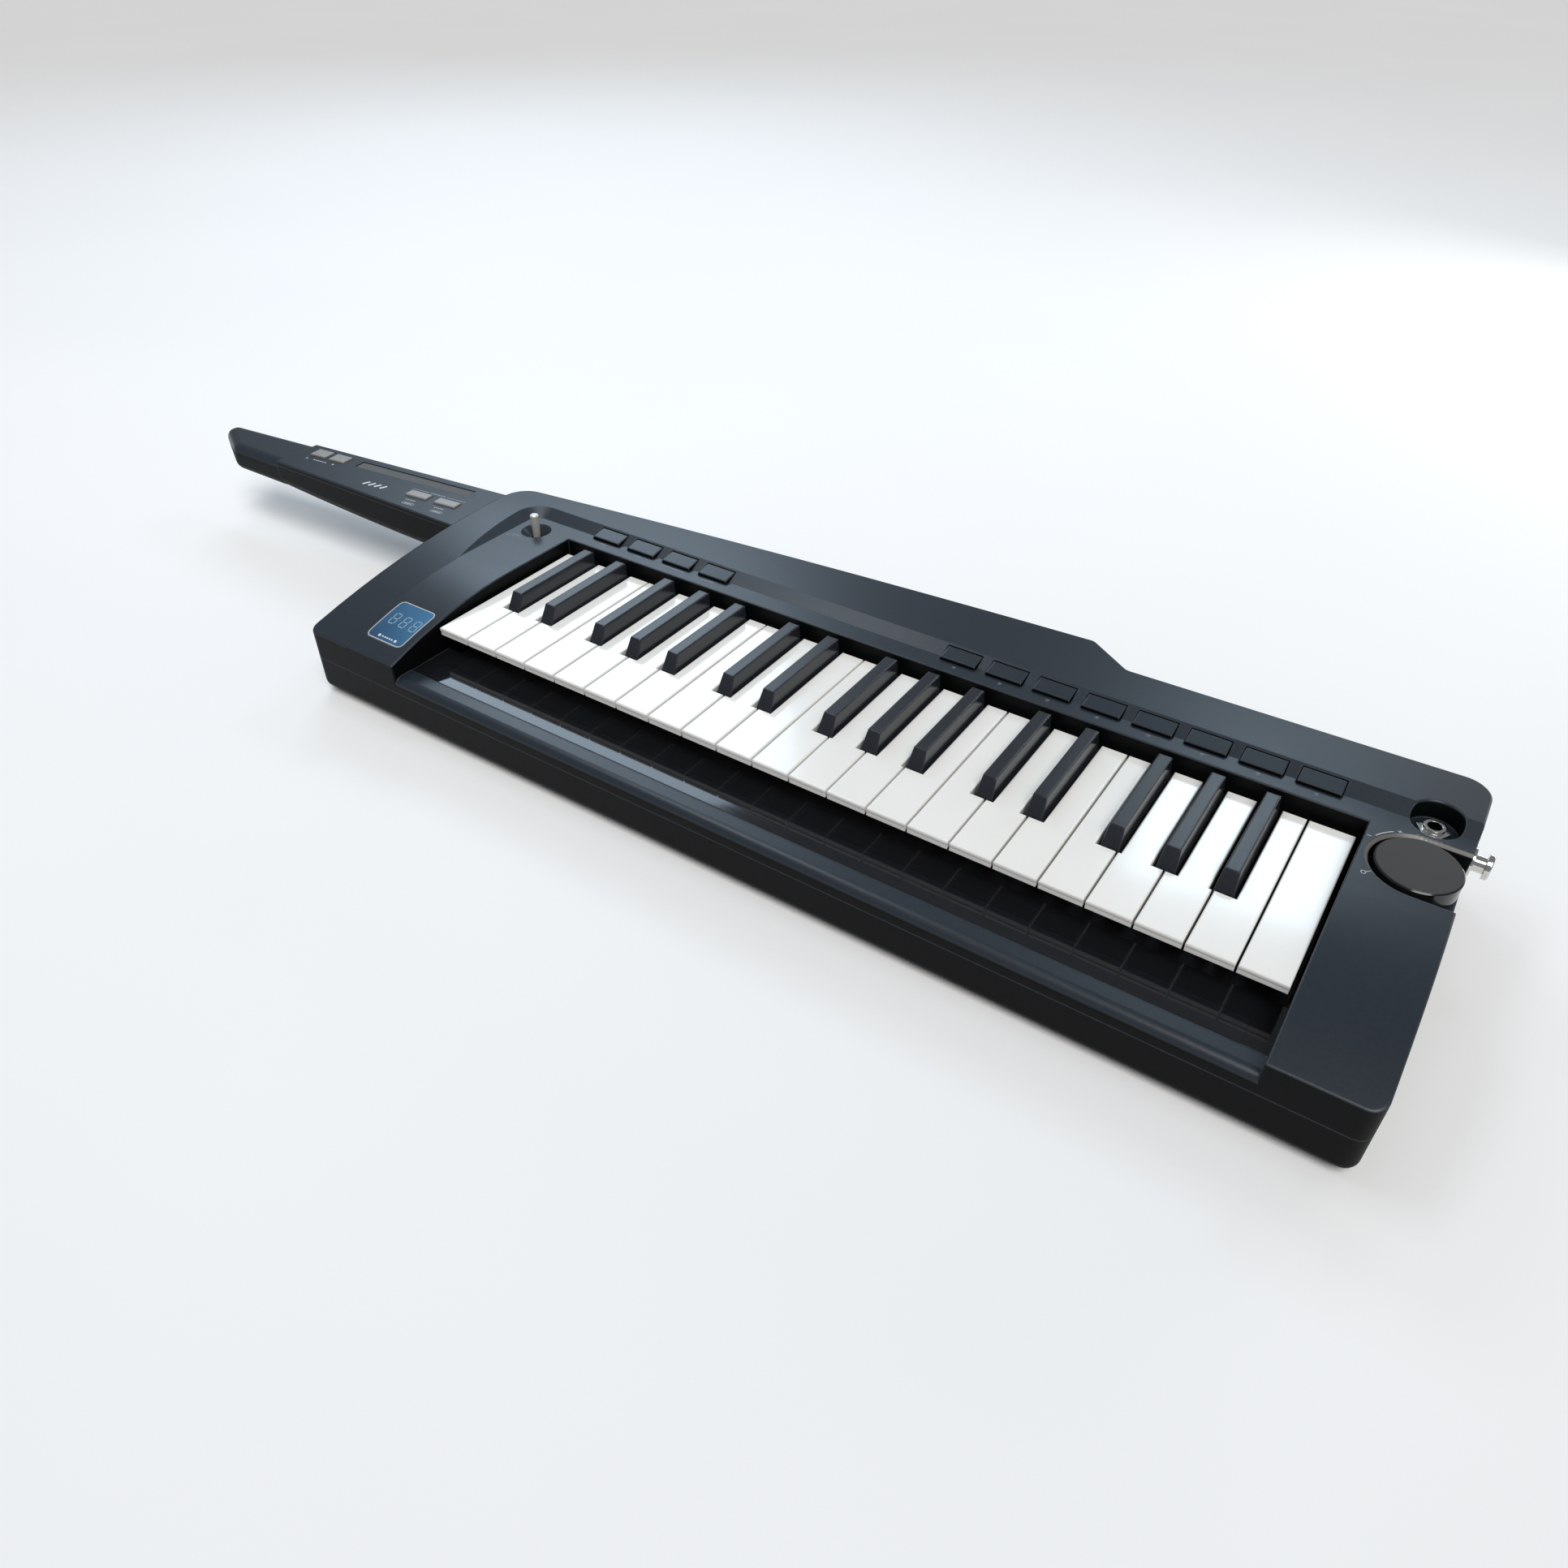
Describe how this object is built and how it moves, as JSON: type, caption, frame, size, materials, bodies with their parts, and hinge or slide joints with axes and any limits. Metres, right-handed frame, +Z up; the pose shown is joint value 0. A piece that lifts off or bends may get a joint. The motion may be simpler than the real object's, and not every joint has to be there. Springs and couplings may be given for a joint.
{
  "type": "shoulder keyboard synthesizer",
  "caption": "Shoulder keyboard with slim piano keys, a controller neck, touch ribbon, panel buttons, toggle, volume knob and output jack.",
  "frame": {"origin": "under the middle of the whole instrument, on the surface its feet stand on", "axes": "+X from the neck's tip towards the volume knob's end, +Y from the key fronts towards the rear panel, +Z up through the key tops"},
  "size_m": [0.858, 0.2145, 0.0688],
  "materials": {
    "body": "satin paint, dark slate blue",
    "ivory": "gloss off-white",
    "ebony": "satin black",
    "chrome": "polished chrome",
    "zinc": "zinc plated",
    "rubber": "matte",
    "black_plastic": "moulded",
    "ribbon": "gloss black film",
    "display": "tinted lens",
    "board": "circuit board laminate",
    "knob": "matte face, gloss rim",
    "silver_cap": "silver grey satin"
  },
  "bodies": {
    "case": {"top_case": "body", "bottom_case": "body", "battery_door": "body", "case_screws": "zinc", "rubber_feet": "rubber", "key_frame": "black_plastic", "long_ribbon": "ribbon", "display_window": "display", "main_board": "board", "output_jack": "chrome", "strap_pins": "chrome", "neck_base": "body", "neck_cover": "body", "short_ribbon": "ribbon", "neck_grip": "body"},
    "white_key_c1": {"white_key_c1": "ivory"},
    "white_key_d1": {"white_key_d1": "ivory"},
    "white_key_e1": {"white_key_e1": "ivory"},
    "white_key_f1": {"white_key_f1": "ivory"},
    "white_key_g1": {"white_key_g1": "ivory"},
    "white_key_a1": {"white_key_a1": "ivory"},
    "white_key_b1": {"white_key_b1": "ivory"},
    "white_key_c2": {"white_key_c2": "ivory"},
    "white_key_d2": {"white_key_d2": "ivory"},
    "white_key_e2": {"white_key_e2": "ivory"},
    "white_key_f2": {"white_key_f2": "ivory"},
    "white_key_g2": {"white_key_g2": "ivory"},
    "white_key_a2": {"white_key_a2": "ivory"},
    "white_key_b2": {"white_key_b2": "ivory"},
    "white_key_c3": {"white_key_c3": "ivory"},
    "white_key_d3": {"white_key_d3": "ivory"},
    "white_key_e3": {"white_key_e3": "ivory"},
    "white_key_f3": {"white_key_f3": "ivory"},
    "white_key_g3": {"white_key_g3": "ivory"},
    "white_key_a3": {"white_key_a3": "ivory"},
    "white_key_b3": {"white_key_b3": "ivory"},
    "white_key_c4": {"white_key_c4": "ivory"},
    "black_key_cs1": {"black_key_cs1": "ebony"},
    "black_key_ds1": {"black_key_ds1": "ebony"},
    "black_key_fs1": {"black_key_fs1": "ebony"},
    "black_key_gs1": {"black_key_gs1": "ebony"},
    "black_key_as1": {"black_key_as1": "ebony"},
    "black_key_cs2": {"black_key_cs2": "ebony"},
    "black_key_ds2": {"black_key_ds2": "ebony"},
    "black_key_fs2": {"black_key_fs2": "ebony"},
    "black_key_gs2": {"black_key_gs2": "ebony"},
    "black_key_as2": {"black_key_as2": "ebony"},
    "black_key_cs3": {"black_key_cs3": "ebony"},
    "black_key_ds3": {"black_key_ds3": "ebony"},
    "black_key_fs3": {"black_key_fs3": "ebony"},
    "black_key_gs3": {"black_key_gs3": "ebony"},
    "black_key_as3": {"black_key_as3": "ebony"},
    "volume_knob": {"volume_knob": "knob"},
    "program_toggle": {"program_toggle": "chrome"},
    "function_buttons": {"function_buttons": "body"},
    "program_buttons": {"program_buttons": "body"},
    "octave_down_button": {"octave_down_button": "silver_cap"},
    "octave_up_button": {"octave_up_button": "silver_cap"},
    "ribbon_pitch_button": {"ribbon_pitch_button": "silver_cap"},
    "ribbon_filter_button": {"ribbon_filter_button": "silver_cap"}
  },
  "joints": [
    {"name": "white_key_c1_press", "type": "hinge", "parent": "case", "child": "white_key_c1", "pos_m": [0, 0.0603, 0.0415], "axis": [1, 0, 0], "range_deg": [0, 2.2], "stiffness_Nm_per_rad": 1, "springref_deg": -4.58},
    {"name": "white_key_d1_press", "type": "hinge", "parent": "case", "child": "white_key_d1", "pos_m": [0, 0.0603, 0.0415], "axis": [1, 0, 0], "range_deg": [0, 2.2], "stiffness_Nm_per_rad": 1, "springref_deg": -4.58},
    {"name": "white_key_e1_press", "type": "hinge", "parent": "case", "child": "white_key_e1", "pos_m": [0, 0.0603, 0.0415], "axis": [1, 0, 0], "range_deg": [0, 2.2], "stiffness_Nm_per_rad": 1, "springref_deg": -4.58},
    {"name": "white_key_f1_press", "type": "hinge", "parent": "case", "child": "white_key_f1", "pos_m": [0, 0.0603, 0.0415], "axis": [1, 0, 0], "range_deg": [0, 2.2], "stiffness_Nm_per_rad": 1, "springref_deg": -4.58},
    {"name": "white_key_g1_press", "type": "hinge", "parent": "case", "child": "white_key_g1", "pos_m": [0, 0.0603, 0.0415], "axis": [1, 0, 0], "range_deg": [0, 2.2], "stiffness_Nm_per_rad": 1, "springref_deg": -4.58},
    {"name": "white_key_a1_press", "type": "hinge", "parent": "case", "child": "white_key_a1", "pos_m": [0, 0.0603, 0.0415], "axis": [1, 0, 0], "range_deg": [0, 2.2], "stiffness_Nm_per_rad": 1, "springref_deg": -4.58},
    {"name": "white_key_b1_press", "type": "hinge", "parent": "case", "child": "white_key_b1", "pos_m": [0, 0.0603, 0.0415], "axis": [1, 0, 0], "range_deg": [0, 2.2], "stiffness_Nm_per_rad": 1, "springref_deg": -4.58},
    {"name": "white_key_c2_press", "type": "hinge", "parent": "case", "child": "white_key_c2", "pos_m": [0, 0.0603, 0.0415], "axis": [1, 0, 0], "range_deg": [0, 2.2], "stiffness_Nm_per_rad": 1, "springref_deg": -4.58},
    {"name": "white_key_d2_press", "type": "hinge", "parent": "case", "child": "white_key_d2", "pos_m": [0, 0.0603, 0.0415], "axis": [1, 0, 0], "range_deg": [0, 2.2], "stiffness_Nm_per_rad": 1, "springref_deg": -4.58},
    {"name": "white_key_e2_press", "type": "hinge", "parent": "case", "child": "white_key_e2", "pos_m": [0, 0.0603, 0.0415], "axis": [1, 0, 0], "range_deg": [0, 2.2], "stiffness_Nm_per_rad": 1, "springref_deg": -4.58},
    {"name": "white_key_f2_press", "type": "hinge", "parent": "case", "child": "white_key_f2", "pos_m": [0, 0.0603, 0.0415], "axis": [1, 0, 0], "range_deg": [0, 2.2], "stiffness_Nm_per_rad": 1, "springref_deg": -4.58},
    {"name": "white_key_g2_press", "type": "hinge", "parent": "case", "child": "white_key_g2", "pos_m": [0, 0.0603, 0.0415], "axis": [1, 0, 0], "range_deg": [0, 2.2], "stiffness_Nm_per_rad": 1, "springref_deg": -4.58},
    {"name": "white_key_a2_press", "type": "hinge", "parent": "case", "child": "white_key_a2", "pos_m": [0, 0.0603, 0.0415], "axis": [1, 0, 0], "range_deg": [0, 2.2], "stiffness_Nm_per_rad": 1, "springref_deg": -4.58},
    {"name": "white_key_b2_press", "type": "hinge", "parent": "case", "child": "white_key_b2", "pos_m": [0, 0.0603, 0.0415], "axis": [1, 0, 0], "range_deg": [0, 2.2], "stiffness_Nm_per_rad": 1, "springref_deg": -4.58},
    {"name": "white_key_c3_press", "type": "hinge", "parent": "case", "child": "white_key_c3", "pos_m": [0, 0.0603, 0.0415], "axis": [1, 0, 0], "range_deg": [0, 2.2], "stiffness_Nm_per_rad": 1, "springref_deg": -4.58},
    {"name": "white_key_d3_press", "type": "hinge", "parent": "case", "child": "white_key_d3", "pos_m": [0, 0.0603, 0.0415], "axis": [1, 0, 0], "range_deg": [0, 2.2], "stiffness_Nm_per_rad": 1, "springref_deg": -4.58},
    {"name": "white_key_e3_press", "type": "hinge", "parent": "case", "child": "white_key_e3", "pos_m": [0, 0.0603, 0.0415], "axis": [1, 0, 0], "range_deg": [0, 2.2], "stiffness_Nm_per_rad": 1, "springref_deg": -4.58},
    {"name": "white_key_f3_press", "type": "hinge", "parent": "case", "child": "white_key_f3", "pos_m": [0, 0.0603, 0.0415], "axis": [1, 0, 0], "range_deg": [0, 2.2], "stiffness_Nm_per_rad": 1, "springref_deg": -4.58},
    {"name": "white_key_g3_press", "type": "hinge", "parent": "case", "child": "white_key_g3", "pos_m": [0, 0.0603, 0.0415], "axis": [1, 0, 0], "range_deg": [0, 2.2], "stiffness_Nm_per_rad": 1, "springref_deg": -4.58},
    {"name": "white_key_a3_press", "type": "hinge", "parent": "case", "child": "white_key_a3", "pos_m": [0, 0.0603, 0.0415], "axis": [1, 0, 0], "range_deg": [0, 2.2], "stiffness_Nm_per_rad": 1, "springref_deg": -4.58},
    {"name": "white_key_b3_press", "type": "hinge", "parent": "case", "child": "white_key_b3", "pos_m": [0, 0.0603, 0.0415], "axis": [1, 0, 0], "range_deg": [0, 2.2], "stiffness_Nm_per_rad": 1, "springref_deg": -4.58},
    {"name": "white_key_c4_press", "type": "hinge", "parent": "case", "child": "white_key_c4", "pos_m": [0, 0.0603, 0.0415], "axis": [1, 0, 0], "range_deg": [0, 2.2], "stiffness_Nm_per_rad": 1, "springref_deg": -4.58},
    {"name": "black_key_cs1_press", "type": "hinge", "parent": "case", "child": "black_key_cs1", "pos_m": [0, 0.0603, 0.0415], "axis": [1, 0, 0], "range_deg": [0, 2.2], "stiffness_Nm_per_rad": 1, "springref_deg": -4.58},
    {"name": "black_key_ds1_press", "type": "hinge", "parent": "case", "child": "black_key_ds1", "pos_m": [0, 0.0603, 0.0415], "axis": [1, 0, 0], "range_deg": [0, 2.2], "stiffness_Nm_per_rad": 1, "springref_deg": -4.58},
    {"name": "black_key_fs1_press", "type": "hinge", "parent": "case", "child": "black_key_fs1", "pos_m": [0, 0.0603, 0.0415], "axis": [1, 0, 0], "range_deg": [0, 2.2], "stiffness_Nm_per_rad": 1, "springref_deg": -4.58},
    {"name": "black_key_gs1_press", "type": "hinge", "parent": "case", "child": "black_key_gs1", "pos_m": [0, 0.0603, 0.0415], "axis": [1, 0, 0], "range_deg": [0, 2.2], "stiffness_Nm_per_rad": 1, "springref_deg": -4.58},
    {"name": "black_key_as1_press", "type": "hinge", "parent": "case", "child": "black_key_as1", "pos_m": [0, 0.0603, 0.0415], "axis": [1, 0, 0], "range_deg": [0, 2.2], "stiffness_Nm_per_rad": 1, "springref_deg": -4.58},
    {"name": "black_key_cs2_press", "type": "hinge", "parent": "case", "child": "black_key_cs2", "pos_m": [0, 0.0603, 0.0415], "axis": [1, 0, 0], "range_deg": [0, 2.2], "stiffness_Nm_per_rad": 1, "springref_deg": -4.58},
    {"name": "black_key_ds2_press", "type": "hinge", "parent": "case", "child": "black_key_ds2", "pos_m": [0, 0.0603, 0.0415], "axis": [1, 0, 0], "range_deg": [0, 2.2], "stiffness_Nm_per_rad": 1, "springref_deg": -4.58},
    {"name": "black_key_fs2_press", "type": "hinge", "parent": "case", "child": "black_key_fs2", "pos_m": [0, 0.0603, 0.0415], "axis": [1, 0, 0], "range_deg": [0, 2.2], "stiffness_Nm_per_rad": 1, "springref_deg": -4.58},
    {"name": "black_key_gs2_press", "type": "hinge", "parent": "case", "child": "black_key_gs2", "pos_m": [0, 0.0603, 0.0415], "axis": [1, 0, 0], "range_deg": [0, 2.2], "stiffness_Nm_per_rad": 1, "springref_deg": -4.58},
    {"name": "black_key_as2_press", "type": "hinge", "parent": "case", "child": "black_key_as2", "pos_m": [0, 0.0603, 0.0415], "axis": [1, 0, 0], "range_deg": [0, 2.2], "stiffness_Nm_per_rad": 1, "springref_deg": -4.58},
    {"name": "black_key_cs3_press", "type": "hinge", "parent": "case", "child": "black_key_cs3", "pos_m": [0, 0.0603, 0.0415], "axis": [1, 0, 0], "range_deg": [0, 2.2], "stiffness_Nm_per_rad": 1, "springref_deg": -4.58},
    {"name": "black_key_ds3_press", "type": "hinge", "parent": "case", "child": "black_key_ds3", "pos_m": [0, 0.0603, 0.0415], "axis": [1, 0, 0], "range_deg": [0, 2.2], "stiffness_Nm_per_rad": 1, "springref_deg": -4.58},
    {"name": "black_key_fs3_press", "type": "hinge", "parent": "case", "child": "black_key_fs3", "pos_m": [0, 0.0603, 0.0415], "axis": [1, 0, 0], "range_deg": [0, 2.2], "stiffness_Nm_per_rad": 1, "springref_deg": -4.58},
    {"name": "black_key_gs3_press", "type": "hinge", "parent": "case", "child": "black_key_gs3", "pos_m": [0, 0.0603, 0.0415], "axis": [1, 0, 0], "range_deg": [0, 2.2], "stiffness_Nm_per_rad": 1, "springref_deg": -4.58},
    {"name": "black_key_as3_press", "type": "hinge", "parent": "case", "child": "black_key_as3", "pos_m": [0, 0.0603, 0.0415], "axis": [1, 0, 0], "range_deg": [0, 2.2], "stiffness_Nm_per_rad": 1, "springref_deg": -4.58},
    {"name": "function_buttons_press", "type": "slide", "parent": "case", "child": "function_buttons", "axis": [0, 0, -1], "range_m": [0, 0.0008], "stiffness_N_per_m": 600, "springref_m": -0.001},
    {"name": "program_buttons_press", "type": "slide", "parent": "case", "child": "program_buttons", "axis": [0, 0, -1], "range_m": [0, 0.0008], "stiffness_N_per_m": 600, "springref_m": -0.001},
    {"name": "octave_down_button_press", "type": "slide", "parent": "case", "child": "octave_down_button", "axis": [0, 0, -1], "range_m": [0, 0.0008], "stiffness_N_per_m": 600, "springref_m": -0.001},
    {"name": "octave_up_button_press", "type": "slide", "parent": "case", "child": "octave_up_button", "axis": [0, 0, -1], "range_m": [0, 0.0008], "stiffness_N_per_m": 600, "springref_m": -0.001},
    {"name": "ribbon_pitch_button_press", "type": "slide", "parent": "case", "child": "ribbon_pitch_button", "axis": [0, 0, -1], "range_m": [0, 0.0008], "stiffness_N_per_m": 600, "springref_m": -0.001},
    {"name": "ribbon_filter_button_press", "type": "slide", "parent": "case", "child": "ribbon_filter_button", "axis": [0, 0, -1], "range_m": [0, 0.0008], "stiffness_N_per_m": 600, "springref_m": -0.001},
    {"name": "program_toggle_tilt", "type": "hinge", "parent": "case", "child": "program_toggle", "pos_m": [-0.12685, 0.0366, 0.0456], "axis": [1, 0, 0], "range_deg": [-12, 12], "stiffness_Nm_per_rad": 0.3},
    {"name": "volume_knob_turn", "type": "hinge", "parent": "case", "child": "volume_knob", "pos_m": [0.40075, 0.0203, 0.05], "axis": [0, 0, -1], "range_deg": [-150, 150]}
  ]
}
